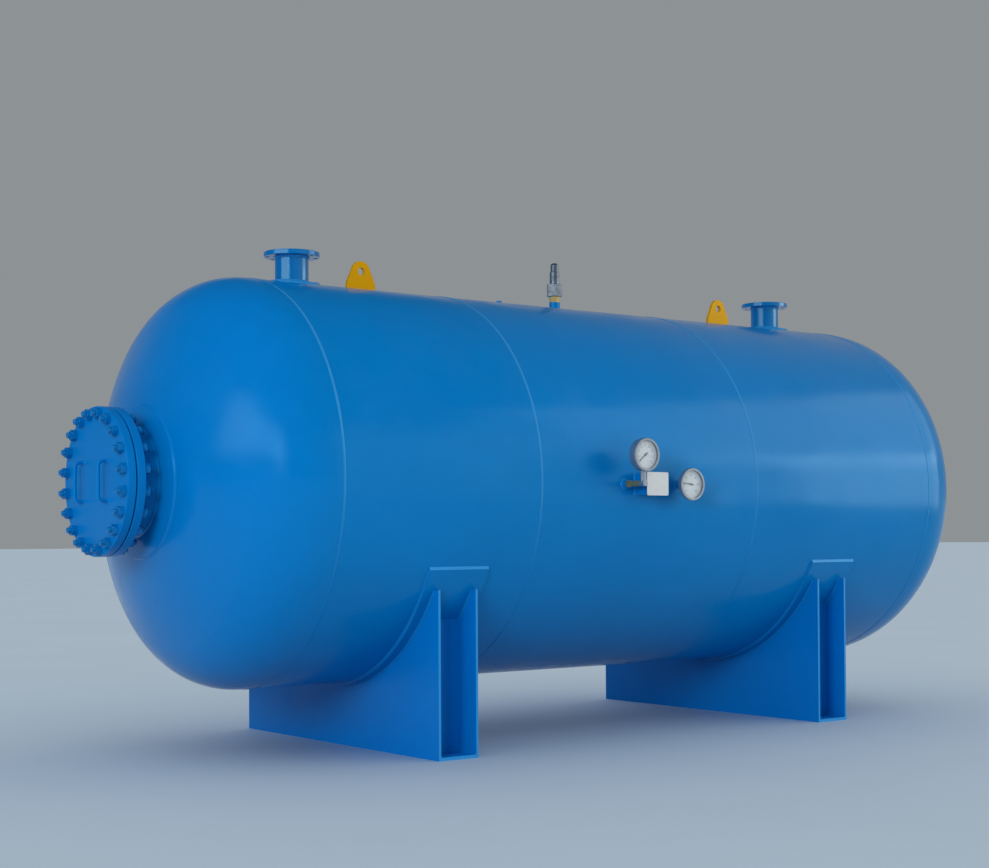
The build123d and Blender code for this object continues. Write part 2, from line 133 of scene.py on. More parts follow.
# Outlines of a fillet with legs of 1, and of a butt weld 1 wide and nearly 1 high
FILLET_SHAPE = ((1.0, 0.0), (0.82, 0.33), (0.58, 0.58), (0.33, 0.82), (0.0, 1.0))
BUTT_SHAPE = ((0.5, 0.0), (0.36, 0.62), (0.14, 0.95), (-0.14, 0.95), (-0.36, 0.62), (-0.5, 0.0))

# How deep a bead is rooted, how it ripples along its length and how far it wanders
BEAD_ROOT = 0.0015
RIPPLE_PITCH = 0.012
RIPPLE_SAMPLES = 3
RIPPLE_HEIGHT = 0.00035
FEWEST_STEPS = 12
BEAD_WANDER = 0.0006
WANDERS_PER_METRE = 40


def fillet_points(corner, first, second, leg):
    """The outline of a fillet weld in a corner, with legs along two directions."""
    root = corner - (first + second) * BEAD_ROOT
    return [root] + [corner + first * (a * leg) + second * (b * leg) for a, b in FILLET_SHAPE]


def butt_points(middle, along, out, width, height):
    """The outline of a low, rounded bead over a butt joint."""
    root = middle - out * (2 * BEAD_ROOT)
    crown = [middle + along * (a * width) + out * (b * height) for a, b in BUTT_SHAPE]
    return [root] + crown


def bead_steps(length):
    """How many steps a bead of some length has, so that its ripples show."""
    return max(FEWEST_STEPS, round(length * RIPPLE_SAMPLES / RIPPLE_PITCH))


def ripple(bm, along):
    """Raise the ripples of a bead, and let it wander a little as hand work does."""
    bm.normal_update()
    shape_layer = bm.verts.layers.float["shape"]
    moves = []
    for vert in bm.verts:
        wave = math.cos(FULL_TURN * along(vert.co) / RIPPLE_PITCH)
        wander = noise.noise(vert.co * WANDERS_PER_METRE)
        amount = vert[shape_layer] * (RIPPLE_HEIGHT * wave + BEAD_WANDER * wander)
        moves.append(vert.normal * amount)
    for vert, move in zip(bm.verts, moves):
        vert.co += move


def start_bead(points):
    """A mesh with the outline of a bead, of which all but the root and legs will ripple."""
    bm = bmesh.new()
    shape = bm.verts.layers.float.new("shape")
    verts, edges = closed_loop(bm, points)
    for vert in verts[2:-1]:
        vert[shape] = 1
    return bm, verts, edges


def finish_bead(beads, bm, along, settle):
    """Close and ripple a bead, lay it on what it joins and add it to the other beads."""
    open_edges = [edge for edge in bm.edges if edge.is_boundary]
    if open_edges:
        bmesh.ops.holes_fill(bm, edges=open_edges, sides=0)
    bmesh.ops.recalc_face_normals(bm, faces=bm.faces)
    ripple(bm, along)
    if settle:
        for vert in bm.verts:
            vert.co += settle(vert.co)
    join(beads, bm)


def round_bead(beads, points, centre, axis, angle=FULL_TURN, settle=None):
    """Spin a bead's outline about an axis and add it to the other beads of the piece."""
    bm, verts, edges = start_bead(points)
    radius = (points[0] - centre).cross(axis).length
    bmesh.ops.spin(
        bm, geom=verts + edges, cent=centre, axis=axis, angle=angle,
        steps=bead_steps(radius * angle), use_merge=angle == FULL_TURN,
    )
    across = axis.orthogonal().normalized()
    third = axis.cross(across)

    def along(place):
        offset = place - centre
        return radius * math.atan2(offset.dot(third), offset.dot(across))

    finish_bead(beads, bm, along, settle)


def arc_bead(beads, x, radius, out, leg, half_angle):
    """A fillet under the tank, along the arc where a plate meets a round surface."""
    centre = Vector((x, 0, AXIS_HEIGHT))
    start = Matrix.Rotation(-half_angle, 3, ALONG) @ -UP
    outline = fillet_points(centre + start * radius, out, start, leg)
    round_bead(beads, outline, centre, ALONG, 2 * half_angle)


def straight_bead(beads, points, run, settle=None):
    """Draw a bead's outline out along a straight run and add it to the other beads."""
    bm, verts, edges = start_bead(points)
    steps = bead_steps(run.length)
    for step in range(steps):
        made = bmesh.ops.extrude_edge_only(bm, edges=edges)["geom"]
        edges = [item for item in made if isinstance(item, bmesh.types.BMEdge)]
        verts = [item for item in made if isinstance(item, bmesh.types.BMVert)]
        bmesh.ops.translate(bm, verts=verts, vec=run / steps)
    heading = run.normalized()
    finish_bead(beads, bm, lambda place: place.dot(heading), settle)


def drop(offset, radius):
    """How far a cylinder falls away from a plane that touches it, at an offset across."""
    return radius - math.sqrt(radius**2 - offset**2)


def onto_crown(radius):
    """A move that lays what was made flat on the top of the tank."""
    return lambda place: Vector((0, 0, -drop(place.y, radius)))


def onto_side(radius):
    """A move that lays what was made flat on the side of the tank that faces -Y."""
    return lambda place: Vector((0, drop(place.z - AXIS_HEIGHT, radius), 0))


# Finishes

# Depth of the fine relief of each surface
PLATE_WAVES = 0.012
ORANGE_PEEL = 0.00006
WELD_GRAIN = 0.0006
BRUSH_MARKS = 0.00003
FINE_GRAIN = 0.00002
GASKET_GRAIN = 0.0001

# Heights over the axis between which the beads turn pale: a painted highlight on their upper half
WELD_HIGHLIGHT_FROM = -0.55
WELD_HIGHLIGHT_TO = 0.35

# How far in from a saddle's cut edges the painted highlight starts, and where it is full
EDGE_HIGHLIGHT_FROM = 0.0012
EDGE_HIGHLIGHT_TO = 0.0004

METALLIC = 0.85
WINDOW_ALPHA = 0.12

# How much duller than the shell the covers and saddles are, and how little they shine
SATIN = {"duller": 0.16, "specular": 0.24}


def new_finish(name):
    """A material with an empty principled shader, and what is needed to add nodes to it."""
    material = bpy.data.materials.new(name)
    material.use_nodes = True
    tree = material.node_tree
    return material, tree, tree.nodes["Principled BSDF"]


def noise_node(tree, scale, detail=3.0, roughness=0.5, stretch=(1, 1, 1)):
    """A noise pattern on the piece's own coordinates."""
    place = tree.nodes.new("ShaderNodeTexCoord")
    mapping = tree.nodes.new("ShaderNodeMapping")
    mapping.inputs["Scale"].default_value = stretch
    pattern = tree.nodes.new("ShaderNodeTexNoise")
    pattern.inputs["Scale"].default_value = scale
    pattern.inputs["Detail"].default_value = detail
    pattern.inputs["Roughness"].default_value = roughness
    tree.links.new(place.outputs["Object"], mapping.inputs["Vector"])
    tree.links.new(mapping.outputs["Vector"], pattern.inputs["Vector"])
    return pattern.outputs["Fac"]


def map_range(tree, value, low, high, from_low=0.3, from_high=0.7):
    """A pattern stretched to run between two values."""
    node = tree.nodes.new("ShaderNodeMapRange")
    node.inputs["From Min"].default_value = from_low
    node.inputs["From Max"].default_value = from_high
    node.inputs["To Min"].default_value = low
    node.inputs["To Max"].default_value = high
    tree.links.new(value, node.inputs["Value"])
    return node.outputs["Result"]


def mix_colours(tree, factor, first, second):
    """A colour between two others, by a pattern. Each may be a value or another node's output."""
    node = tree.nodes.new("ShaderNodeMix")
    node.data_type = "RGBA"
    tree.links.new(factor, node.inputs["Factor"])
    for socket, colour in (("A", first), ("B", second)):
        target = [item for item in node.inputs if item.name == socket and item.type == "RGBA"][0]
        if isinstance(colour, bpy.types.NodeSocket):
            tree.links.new(colour, target)
        else:
            target.default_value = (*colour, 1)
    return [item for item in node.outputs if item.type == "RGBA"][0]


def mottle(tree, shader, colour, low, high, **pattern):
    """Colour a surface in patches between two shades of one colour."""
    patches = map_range(tree, noise_node(tree, **pattern), 0, 1)
    tones = mix_colours(tree, patches, shade(colour, low), shade(colour, high))
    tree.links.new(tones, shader.inputs["Base Color"])


def dull(tree, shader, low, high, pattern):
    """Let the roughness of a surface run between two values by a pattern."""
    tree.links.new(map_range(tree, pattern, low, high), shader.inputs["Roughness"])


def bump(tree, shader, layers):
    """Stack patterns as fine relief on a shader. Each layer is a pattern and its depth."""
    normal = None
    for pattern, depth in layers:
        node = tree.nodes.new("ShaderNodeBump")
        node.inputs["Distance"].default_value = depth
        tree.links.new(pattern, node.inputs["Height"])
        if normal:
            tree.links.new(normal, node.inputs["Normal"])
        normal = node.outputs["Normal"]
    tree.links.new(normal, shader.inputs["Normal"])


def shade(colour, factor):
    """A colour made lighter or darker."""
    return tuple(min(1.0, part * factor) for part in colour)


def place_part(tree, axis):
    """How far along one axis each point of a piece is, in metres."""
    place = tree.nodes.new("ShaderNodeTexCoord")
    split = tree.nodes.new("ShaderNodeSeparateXYZ")
    tree.links.new(place.outputs["Object"], split.inputs["Vector"])
    return split.outputs[axis]


def distance_out(tree, axis):
    """How far from the tank's middle plane each point is, on either side."""
    node = tree.nodes.new("ShaderNodeMath")
    node.operation = "ABSOLUTE"
    tree.links.new(place_part(tree, axis), node.inputs[0])
    return node.outputs["Value"]


def paint_finish(name, colour, roughness, tint, welded=False, specular=0.42, paler=None):
    """Sprayed gloss paint on steel: even colour, a little mottling, orange peel and dull dust.

    Paler is a pattern and the colour that the paint turns where the pattern is 1, a painted
    highlight.
    """
    material, tree, shader = new_finish(name)
    clouds = map_range(tree, noise_node(tree, scale=1.1, detail=2.0), 0, 1)
    specks = map_range(tree, noise_node(tree, scale=9, detail=4.0, roughness=0.6), 0, 1)
    body = mix_colours(tree, clouds, shade(colour, 0.93), shade(colour, 1.05))
    dust = mix_colours(tree, specks, shade(colour, 0.95), shade(colour, 1.04))
    blend = map_range(tree, noise_node(tree, scale=3, detail=2.0), 0.3, 0.7)
    coat = mix_colours(tree, blend, body, dust)
    if paler:
        pattern, pale = paler
        coat = mix_colours(tree, pattern(tree), coat, pale)
    tree.links.new(coat, shader.inputs["Base Color"])
    wear = noise_node(tree, scale=5, detail=5.0, roughness=0.65)
    dull(tree, shader, roughness - 0.05, roughness + 0.09, wear)
    shader.inputs["Specular IOR Level"].default_value = specular
    shader.inputs["Specular Tint"].default_value = (*tint, 1)
    layers = [
        (noise_node(tree, scale=1.6, detail=1.0), PLATE_WAVES),
        (noise_node(tree, scale=320, detail=2.0), ORANGE_PEEL),
    ]
    if welded:
        layers.append((noise_node(tree, scale=150, roughness=0.7), WELD_GRAIN))
    bump(tree, shader, layers)
    return material


def metal_finish(name, colour, roughness, brush=(1, 1, 1), tarnish=0.85):
    """Bare metal with fine brush marks and a slightly dull patchwork."""
    material, tree, shader = new_finish(name)
    mottle(tree, shader, colour, tarnish, 1, scale=28, detail=4.0, roughness=0.6)
    shader.inputs["Metallic"].default_value = METALLIC
    scratches = noise_node(tree, scale=420, detail=2.0, stretch=brush)
    dull(tree, shader, roughness - 0.06, roughness + 0.1, scratches)
    bump(tree, shader, [(scratches, BRUSH_MARKS)])
    return material


def dial_finish(name, colour):
    """The printed, slightly greyed face of a dial."""
    material, tree, shader = new_finish(name)
    mottle(tree, shader, colour, 0.93, 1, scale=35)
    dull(tree, shader, 0.42, 0.55, noise_node(tree, scale=90))
    bump(tree, shader, [(noise_node(tree, scale=600), FINE_GRAIN)])
    return material


def ink_finish(name, colour):
    """Printed ink or baked enamel, almost black."""
    material, tree, shader = new_finish(name)
    mottle(tree, shader, colour, 0.7, 1, scale=300)
    dull(tree, shader, 0.38, 0.5, noise_node(tree, scale=500))
    bump(tree, shader, [(noise_node(tree, scale=900), FINE_GRAIN)])
    return material


def glass_finish(name, colour):
    """A thin clear window that shows a faint reflection."""
    material, tree, shader = new_finish(name)
    mottle(tree, shader, colour, 0.9, 1, scale=16)
    dull(tree, shader, 0.03, 0.09, noise_node(tree, scale=24, detail=4.0, roughness=0.6))
    shader.inputs["Alpha"].default_value = WINDOW_ALPHA
    bump(tree, shader, [(noise_node(tree, scale=40), FINE_GRAIN)])
    return material


def rubber_finish(name, colour):
    """Compressed sheet of a gasket."""
    material, tree, shader = new_finish(name)
    mottle(tree, shader, colour, 0.6, 1.5, scale=220, detail=4.0, roughness=0.7)
    dull(tree, shader, 0.6, 0.8, noise_node(tree, scale=80))
    bump(tree, shader, [(noise_node(tree, scale=400), GASKET_GRAIN)])
    return material


def floor_finish(name, colour):
    """Plain pale floor with hardly any shine."""
    material, tree, shader = new_finish(name)
    mottle(tree, shader, colour, 0.97, 1, scale=0.6)
    shader.inputs["Roughness"].default_value = 0.7
    shader.inputs["Specular IOR Level"].default_value = 0.2
    return material


def upper_half(tree):
    """1 well above the axis of the tank, and 0 towards its belly: where the beads get a painted
    highlight.
    """
    height = place_part(tree, "Z")
    return map_range(tree, height, 0, 1, AXIS_HEIGHT + WELD_HIGHLIGHT_FROM, AXIS_HEIGHT + WELD_HIGHLIGHT_TO)


def saddle_edge(tree):
    """1 on the cut ends of a saddle's plates, which are painted lighter as a highlight."""
    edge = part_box("manway_end_saddle_webs")[1].y
    return map_range(tree, distance_out(tree, "Y"), 0, 1, edge - EDGE_HIGHLIGHT_FROM, edge - EDGE_HIGHLIGHT_TO)


FINISHES = {}

# Nodes whose coat differs from the rest of their slot
OWN_FINISHES = {
    **dict.fromkeys(("manway_cover", "manway_handles", "manway_flange"), "cover_paint"),
    **dict.fromkeys(("inlet_neck", "inlet_flange", "outlet_neck", "outlet_flange"), "nozzle_paint"),
    **dict.fromkeys(("safety_valve_body", "safety_valve_bonnet"), "valve_steel"),
}
for tank_end in ENDS:
    for saddle_part in ("webs", "ribs", "base_plate"):
        OWN_FINISHES[f"{tank_end}_saddle_{saddle_part}"] = "saddle_paint"


def finish(slot):
    """The finish of one of the record's slots, or one of the coats beside them, made once."""
    if slot in FINISHES:
        return FINISHES[slot]
    look = bpy.context.scene.tank_finish
    blue = look.tank_colour

    def coat(colour, duller=0.0, sheen=look.tank_sheen, **more):
        return paint_finish(slot, colour, look.gloss + duller, sheen, **more)

    def metal(colour, **more):
        return metal_finish(slot, colour, **more)

    makers = {
        "tank_paint": lambda: coat(blue),
        # The beads' pale upper half is a painted highlight
        "weld_paint": lambda: coat(blue, welded=True, paler=(upper_half, look.weld_colour)),
        # Lighter blue on the wear plates' top beads, a painted highlight
        "edge_paint": lambda: coat(look.edge_colour, welded=True),
        # The saddles' lighter blue is painted light, and their cut ends get a painted highlight
        "saddle_paint": lambda: coat(
            look.saddle_colour, paler=(saddle_edge, look.edge_colour), **SATIN
        ),
        "cover_paint": lambda: coat(blue, **SATIN),
        # The nozzles and nuts take darker copies of the tank blue, painted shade
        "nozzle_paint": lambda: coat(
            shade(blue, 0.8), duller=-0.05, sheen=look.nozzle_sheen, specular=1
        ),
        "nut_paint": lambda: coat(shade(blue, 0.85), specular=0.75),
        "lug_paint": lambda: coat(look.lug_colour, duller=0.2, sheen=look.lug_sheen),
        "brass": lambda: metal(look.brass_colour, roughness=0.42),
        "steel": lambda: metal(look.steel_colour, roughness=0.38, brush=(1, 1, 0.08)),
        "valve_steel": lambda: metal(look.valve_colour, roughness=0.3, tarnish=0.45),
        "nameplate": lambda: metal(
            look.plate_colour, roughness=0.42, brush=(0.1, 1, 1), tarnish=0.94
        ),
        "dial_white": lambda: dial_finish(slot, look.dial_colour),
        "pointer_black": lambda: ink_finish(slot, look.ink_colour),
        "window_glass": lambda: glass_finish(slot, look.glass_colour),
        "gasket": lambda: rubber_finish(slot, look.gasket_colour),
    }
    FINISHES[slot] = makers[slot]()
    return FINISHES[slot]


# Sizes and colours that a user would change


def length(name, description, default):
    """A length of the tank's detail, in metres."""
    return bpy.props.FloatProperty(
        name=name, description=description, default=default, min=0.0, unit="LENGTH", precision=4
    )


def colour(name, description, default):
    """A surface colour, in linear light."""
    return bpy.props.FloatVectorProperty(
        name=name, description=description, default=default,
        min=0.0, max=1.0, size=3, subtype="COLOR",
    )


def watts(name, description, default):
    """The power of a soft box, in watts."""
    return bpy.props.FloatProperty(
        name=name, description=description, default=default, min=0.0, unit="POWER"
    )


def strength(name, description, default):
    """The strength of light that comes evenly from a whole side."""
    return bpy.props.FloatProperty(name=name, description=description, default=default, min=0.0)


def camera_angle(name, description, default):
    """One of the angles of the camera."""
    return bpy.props.FloatProperty(
        name=name, description=description, default=default, unit="ROTATION"
    )


class TankFinishSettings(bpy.types.PropertyGroup):
    """Colours and gloss of the tank's surfaces."""

    tank_colour: colour("Tank paint", "Blue of the shell, heads and nozzles", (0.0, 0.185, 0.512))
    # A lighter, bluer copy of the tank blue: painted light on the shaded saddles
    saddle_colour: colour("Saddle paint", "Blue of the saddles", (0.0, 0.19, 0.57))
    # Pale blue of the upper beads, a painted highlight
    weld_colour: colour("Weld paint", "Blue, thin and pale on the beads", (0.03, 0.26, 0.58))
    # Lighter blue on cut edges and their beads, a painted highlight
    edge_colour: colour("Edge paint", "Thin, rubbed blue on cut edges", (0.03, 0.28, 0.66))
    tank_sheen: colour("Tank sheen", "Tint of what the blue reflects", (0.35, 0.8, 1.0))
    nozzle_sheen: colour("Nozzle sheen", "Tint of what the nozzles reflect", (0.62, 0.98, 1.0))
    lug_colour: colour("Lug paint", "Yellow of the lifting lugs", (0.66, 0.31, 0.0))
    lug_sheen: colour("Lug sheen", "Tint of what the yellow reflects", (1.0, 0.7, 0.05))
    brass_colour: colour("Brass", "Cock and valve inlet", (0.62, 0.46, 0.2))
    steel_colour: colour("Steel", "Stems and dial cases", (0.45, 0.48, 0.53))
    valve_colour: colour("Valve steel", "Body and bonnet of the valve", (0.34, 0.37, 0.43))
    dial_colour: colour("Dial", "Face of the dials", (0.68, 0.71, 0.76))
    ink_colour: colour("Ink", "Marks and pointers", (0.02, 0.02, 0.022))
    glass_colour: colour("Glass", "Windows of the dials", (0.9, 0.95, 0.96))
    gasket_colour: colour("Gasket", "Between the manway flange and cover", (0.018, 0.04, 0.07))
    plate_colour: colour("Nameplate", "Blank plate beside the dials", (0.8, 0.79, 0.8))
    gloss: bpy.props.FloatProperty(
        name="Paint roughness", description="Lower is glossier", default=0.17,
        min=0.06, max=0.8, subtype="FACTOR",
    )


class TankWeldSettings(bpy.types.PropertyGroup):
    """Sizes of the weld beads, and of the bars and couplings that they go round."""

    girth_width: length("Girth width", "Width of the beads between the courses and heads", 0.013)
    girth_height: length("Girth height", "How far those beads stand out", 0.002)
    pad_leg: length("Pad leg", "Fillets round the pads and pipes", 0.009)
    saddle_leg: length("Saddle leg", "Fillets of the saddles and lugs", 0.008)
    fitting_leg: length("Fitting leg", "Fillets of the couplings, handles and bracket", 0.005)
    handle_bar: length("Handle bar", "Diameter of the handles' bar", 0.016)
    valve_coupling: length("Valve coupling", "Diameter of the coupling under the valve", 0.061)
    vent_coupling: length("Vent coupling", "Diameter of the plugged coupling", 0.038)
    side_coupling: length("Side couplings", "Diameter of the couplings of the dials", 0.043)


class TankBoltSettings(bpy.types.PropertyGroup):
    """Sizes of the manway's studs and nuts."""

    count: bpy.props.IntProperty(
        name="Studs", description="Studs on the bolt circle", default=20, min=3
    )
    circle: length("Bolt circle", "Diameter of the circle of studs", 0.635)
    stud_size: length("Stud", "Diameter of a stud", 0.0286)
    nut_width: length("Nut width", "Across the flats of a nut", 0.046)
    nut_height: length("Nut height", "Along the stud", 0.028)
    stud_end: length("Stud end", "How far a stud stands out of its nut", 0.018)
    thread_pitch: length("Thread pitch", "From one thread to the next", 0.0032)
    thread_depth: length("Thread depth", "Depth of the thread", 0.0016)


class TankDialSettings(bpy.types.PropertyGroup):
    """Sizes of the dials' marks and windows, and of the nameplate's rivets."""

    mark_radius: length("Mark radius", "Outer ends of the marks, from the centre", 0.064)
    long_mark: length("Long mark", "Length of a numbered mark", 0.009)
    short_mark: length("Short mark", "Length of the marks between", 0.005)
    mark_width: length("Mark width", "Width of a numbered mark", 0.0014)
    ink_thickness: length("Ink", "Thickness of the print", 0.0002)
    number_size: length("Number size", "Height of the numbers", 0.013)
    number_radius: length("Number radius", "Middle of the numbers, from the centre", 0.046)
    window_thickness: length("Window", "Thickness of the windows", 0.003)
    # The black ring between dial and window is painted shade
    spacer_wall: length("Spacer wall", "Thickness of the ring between dial and window", 0.004)
    rivet_inset: length("Rivet inset", "From the nameplate's edges to its rivets", 0.011)
    rivet_radius: length("Rivet radius", "Half the width of a rivet's head", 0.0035)
    rivet_height: length("Rivet height", "How far a rivet stands out of the plate", 0.002)


class TankStageSettings(bpy.types.PropertyGroup):
    """The camera, floor and lights."""

    eye: bpy.props.FloatVectorProperty(
        name="Camera place", description="Where the camera stands",
        default=(-6.00806, -7.417, 1.0514), size=3, subtype="TRANSLATION", unit="LENGTH",
    )
    heading: camera_angle("Heading", "From +Y towards +X", 0.6481)
    tilt: camera_angle("Tilt", "Above level", 0.0182)
    roll: camera_angle("Roll", "About the line of sight", -0.0057)
    rise: bpy.props.FloatProperty(
        name="Rise", description="How far the picture is shifted up, in widths", default=0.07106
    )
    lens: bpy.props.FloatProperty(
        name="Lens", description="Focal length on a 36 mm frame", default=62.2008, unit="CAMERA"
    )
    floor_size: length("Floor", "Side of the floor", 300.0)
    floor_colour: colour("Floor colour", "Plain pale floor", (0.84, 0.88, 0.9))
    backdrop_colour: colour("Backdrop", "Plain wall behind the floor", (0.84, 0.9, 0.94))
    ahead_colour: colour("Room ahead", "Light from ahead and the right", (0.84, 0.9, 0.94))
    behind_colour: colour("Room behind", "Light from the left", (0.08, 0.42, 0.75))
    above_colour: colour("Room above", "Light from high on the left", (0.05, 0.32, 0.58))
    key_power: watts("Key light", "Soft light from the left", 430.0)
    fill_power: watts("Fill light", "Soft light from the right", 430.0)
    side_power: watts("Side light", "Soft light on the manway end", 94.0)
    window_power: watts("Window light", "Light that shows on the head", 85.0)
    veil_power: watts("Veil", "Light that shows on the rear of the shell", 140.0)
    haze_power: watts("Haze", "Fainter light above the veil", 150.0)
    back_power: watts("Back light", "Soft light from behind", 260.0)
    top_strength: strength("Top light", "Even light from above", 0.9)
    floor_strength: strength("Floor light", "Even light on the floor alone", 0.4)
    room_strength: strength("Room light", "Even light all round", 0.32)


# Pieces


class TANK_OT_surfaces(bpy.types.Operator):
    """Give every node of the tank its paint, metal, glass or rubber"""

    bl_idname = "tank.surfaces"
    bl_label = "Paint the tank"

    def execute(self, context):
        slots = {part["node"]: part["material_slot"] for part in frame["record"]["subparts"]}
        for name, node in frame["nodes"].items():
            if name not in slots:
                raise RuntimeError(f"{name} has no material slot")
            node.data.materials.clear()
            node.data.materials.append(finish(OWN_FINISHES.get(name, slots[name])))
        return {"FINISHED"}


class TANK_OT_girth_welds(bpy.types.Operator):
    """Lay the beads that join the courses and heads of the shell"""

    bl_idname = "tank.girth_welds"
    bl_label = "Girth welds"

    def execute(self, context):
        sizes = context.scene.tank_welds
        beads = bmesh.new()
        centre = Vector((0, 0, AXIS_HEIGHT))
        for seam in (FIRST_SEAM, MIDDLE_LOW.x, MIDDLE_HIGH.x, LAST_SEAM):
            middle = Vector((seam, 0, CROWN_HEIGHT))
            outline = butt_points(middle, ALONG, UP, sizes.girth_width, sizes.girth_height)
            round_bead(beads, outline, centre, ALONG)
        finish_mesh("girth_welds", beads, finish("weld_paint"))
        return {"FINISHED"}


class TANK_OT_manway_welds(bpy.types.Operator):
    """Lay the fillets round the manway's pad, pipe, flange and handles"""

    bl_idname = "tank.manway_welds"
    bl_label = "Manway welds"

    def execute(self, context):
        sizes = context.scene.tank_welds
        beads = bmesh.new()
        centre = Vector((0, 0, AXIS_HEIGHT))
        pad_low, pad_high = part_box("manway_pad")
        pad_radius = (pad_high.y - pad_low.y) / 2
        neck_low, neck_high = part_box("manway_neck")
        neck_radius = (neck_high.y - neck_low.y) / 2
        flange_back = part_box("manway_flange")[1].x
        lean = math.asin(pad_radius / HEAD_CROWN_RADIUS)
        outward = Vector((math.sin(lean), 0, math.cos(lean)))
        edge = Vector((pad_high.x, 0, AXIS_HEIGHT + pad_radius))
        round_bead(beads, fillet_points(edge, outward, -ALONG, sizes.pad_leg), centre, ALONG)
        root = Vector((pad_low.x, 0, AXIS_HEIGHT + neck_radius))
        round_bead(beads, fillet_points(root, UP, -ALONG, sizes.pad_leg), centre, ALONG)
        collar = Vector((flange_back, 0, AXIS_HEIGHT + neck_radius))
        round_bead(beads, fillet_points(collar, UP, ALONG, sizes.pad_leg), centre, ALONG)
        self.handle_beads(beads, sizes)
        finish_mesh("manway_welds", beads, finish("tank_paint"))
        return {"FINISHED"}

    def handle_beads(self, beads, sizes):
        """The fillets round the feet of the handles, on the cover."""
        cover_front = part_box("manway_cover")[0].x
        low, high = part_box("manway_handles")
        bar = sizes.handle_bar / 2
        for y in (low.y + bar, high.y - bar):
            for z in (low.z + bar, high.z - bar):
                foot = Vector((cover_front, y, z))
                outline = fillet_points(foot + UP * bar, UP, -ALONG, sizes.fitting_leg)
                round_bead(beads, outline, foot, ALONG)


class TANK_OT_nozzle_welds(bpy.types.Operator):
    """Lay the fillets round the nozzles' pads, pipes and flanges"""

    bl_idname = "tank.nozzle_welds"
    bl_label = "Nozzle welds"

    def execute(self, context):
        leg = context.scene.tank_welds.pad_leg
        for name in ("inlet", "outlet"):
            beads = bmesh.new()
            pad_low, pad_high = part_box(f"{name}_pad")
            neck_low, neck_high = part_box(f"{name}_neck")
            flange_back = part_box(f"{name}_flange")[0].z
            x = (pad_low.x + pad_high.x) / 2
            pad_radius = (pad_high.x - pad_low.x) / 2
            neck_radius = (neck_high.x - neck_low.x) / 2
            centre = Vector((x, 0, 0))
            edge = Vector((x + pad_radius, 0, CROWN_HEIGHT))
            outline = fillet_points(edge, ALONG, UP, leg)
            round_bead(beads, outline, centre, UP, settle=onto_crown(SHELL_RADIUS))
            root = Vector((x + neck_radius, 0, pad_high.z))
            outline = fillet_points(root, ALONG, UP, leg)
            pad_top = pad_high.z - AXIS_HEIGHT
            round_bead(beads, outline, centre, UP, settle=onto_crown(pad_top))
            collar = Vector((x + neck_radius, 0, flange_back))
            round_bead(beads, fillet_points(collar, ALONG, -UP, leg), centre, UP)
            finish_mesh(f"{name}_welds", beads, finish("weld_paint"))
        return {"FINISHED"}


class TANK_OT_lug_welds(bpy.types.Operator):
    """Lay the fillets along the feet of the lifting lugs"""

    bl_idname = "tank.lug_welds"
    bl_label = "Lug welds"

    def execute(self, context):
        leg = context.scene.tank_welds.saddle_leg
        for end in ENDS:
            beads = bmesh.new()
            low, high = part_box(f"{end}_lifting_lug")
            run = ALONG * (high.x - low.x)
            for y, out in ((low.y, -SIDEWAYS), (high.y, SIDEWAYS)):
                outline = fillet_points(Vector((low.x, y, CROWN_HEIGHT)), out, UP, leg)
                straight_bead(beads, outline, run, onto_crown(SHELL_RADIUS))
            across = SIDEWAYS * (high.y - low.y)
            for x, out in ((low.x, -ALONG), (high.x, ALONG)):
                outline = fillet_points(Vector((x, low.y, CROWN_HEIGHT)), out, UP, leg)
                straight_bead(beads, outline, across, onto_crown(SHELL_RADIUS))
            finish_mesh(f"{end}_lug_welds", beads, finish("lug_paint"))
        return {"FINISHED"}


class TANK_OT_saddle_welds(bpy.types.Operator):
    """Lay the fillets of the saddles' wear plates, webs and base plates"""

    bl_idname = "tank.saddle_welds"
    bl_label = "Saddle welds"

    def execute(self, context):
        leg = context.scene.tank_welds.saddle_leg
        for end in ENDS:
            low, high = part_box(f"{end}_saddle_wear_plate")
            plate_radius = AXIS_HEIGHT - low.z
            plate_angle = math.asin(high.y / plate_radius)
            beads = bmesh.new()
            for x, out in ((low.x, -ALONG), (high.x, ALONG)):
                arc_bead(beads, x, SHELL_RADIUS, out, leg, plate_angle)
            self.web_beads(beads, end, plate_radius, leg)
            finish_mesh(f"{end}_saddle_welds", beads, finish("tank_paint"))
            tops = bmesh.new()
            # These beads take the lighter edge blue, a painted highlight
            self.top_beads(tops, low.x, high.x, plate_angle, TOP_BEAD_FACTOR * leg)
            finish_mesh(f"{end}_wear_plate_welds", tops, finish("edge_paint"))
        return {"FINISHED"}

    def web_beads(self, beads, end, plate_radius, leg):
        """The fillets of a saddle's webs, under the wear plate and on the base plate."""
        web_low, web_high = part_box(f"{end}_saddle_webs")
        rib_low, rib_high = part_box(f"{end}_saddle_ribs")
        base_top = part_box(f"{end}_saddle_base_plate")[1].z
        web_angle = math.acos((AXIS_HEIGHT - web_high.z) / plate_radius)
        inner_faces = ((rib_low.x, ALONG), (rib_high.x, -ALONG))
        for x, out in ((web_low.x, -ALONG), *inner_faces, (web_high.x, ALONG)):
            arc_bead(beads, x, plate_radius, out, leg, web_angle)
        for x, out in inner_faces:
            outline = fillet_points(Vector((x, web_low.y, base_top)), out, UP, leg)
            straight_bead(beads, outline, SIDEWAYS * (web_high.y - web_low.y))

    def top_beads(self, beads, start, stop, plate_angle, leg):
        """The fillets along the two upper edges of a wear plate."""
        for side in (-1, 1):
            turn = Matrix.Rotation(side * plate_angle, 3, ALONG)
            down = turn @ -UP
            along_shell = turn @ (SIDEWAYS * side)
            corner = Vector((start, 0, AXIS_HEIGHT)) + down * SHELL_RADIUS
            outline = fillet_points(corner, along_shell, down, leg)
            straight_bead(beads, outline, ALONG * (stop - start))


